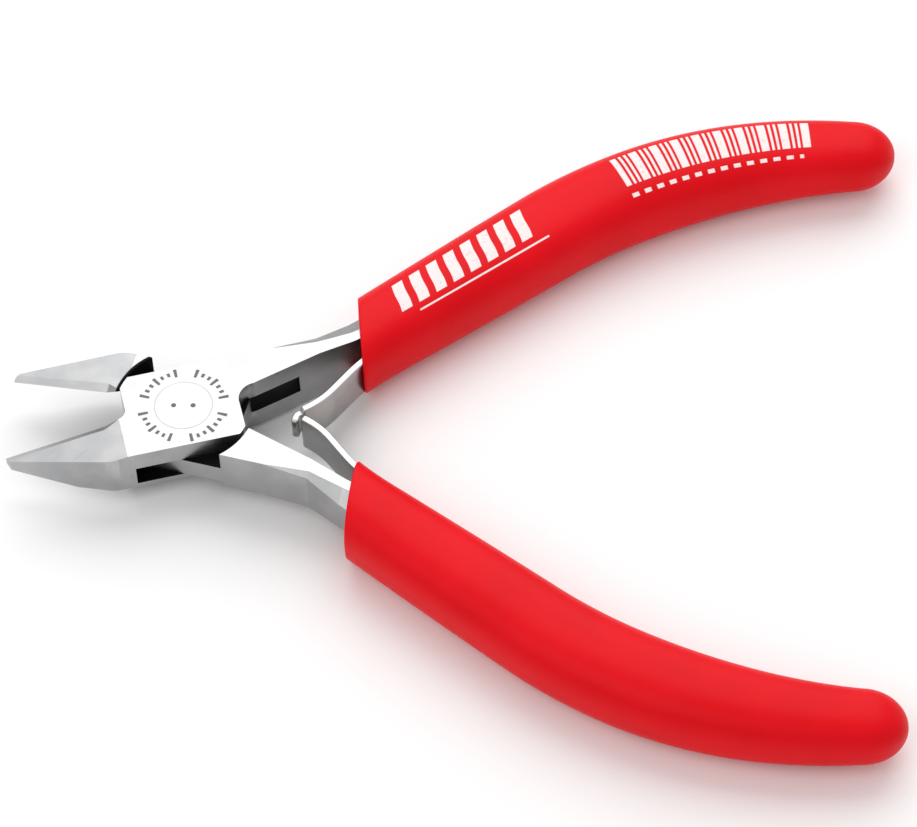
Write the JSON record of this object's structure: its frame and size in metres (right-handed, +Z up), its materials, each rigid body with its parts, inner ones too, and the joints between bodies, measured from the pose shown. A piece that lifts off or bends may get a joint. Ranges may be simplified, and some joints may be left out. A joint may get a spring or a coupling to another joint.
{
  "type": "flush cutter",
  "caption": "Small box-joint flush cutter with tapered jaws, bowed sleeve-covered handles and crossed leaf springs that hold it open.",
  "frame": {"origin": "where the pivot axis meets the box joint's flat underside", "axes": "+X from the pivot towards the handle ends, halfway between the two handles; -X towards the jaw tips; +Z up, square to the joint's flat faces; +Y towards the handle of the slotted half"},
  "size_m": [0.1005, 0.0876, 0.009],
  "materials": {
    "tool_steel": "satin ground",
    "rivet_steel": "satin ground",
    "spring_steel": "bright rolled strip",
    "sleeve_vinyl": "semi-gloss moulded"
  },
  "bodies": {
    "outer": {"outer_half": "tool_steel", "pivot_rivet": "rivet_steel", "outer_sleeve": "sleeve_vinyl", "outer_leaf_foot": "spring_steel", "outer_leaf_rivet": "rivet_steel"},
    "inner": {"inner_half": "tool_steel", "inner_sleeve": "sleeve_vinyl", "inner_leaf_foot": "spring_steel", "inner_leaf_rivet": "rivet_steel"},
    "outer_blade": {"outer_leaf_blade": "spring_steel"},
    "inner_blade": {"inner_leaf_blade": "spring_steel"}
  },
  "joints": [
    {"name": "jaw_pivot", "type": "hinge", "parent": "outer", "child": "inner", "pos_m": [0, 0, 0.0039], "axis": [0, 0, 1], "range_deg": [0, 30], "stiffness_Nm_per_rad": 1},
    {"name": "outer_leaf_flex", "type": "hinge", "parent": "outer", "child": "outer_blade", "pos_m": [0.02311, 0.01023, 0.0039], "axis": [0, 0, -1], "range_deg": [0, 15.9]},
    {"name": "inner_leaf_flex", "type": "hinge", "parent": "inner", "child": "inner_blade", "pos_m": [0.02311, -0.01023, 0.0039], "axis": [0, 0, 1], "range_deg": [0, 15.9]}
  ],
  "couplings": [
    {"joint": "outer_leaf_flex", "follows": "jaw_pivot", "ratio": 0.5267},
    {"joint": "inner_leaf_flex", "follows": "jaw_pivot", "ratio": 0.5267}
  ]
}
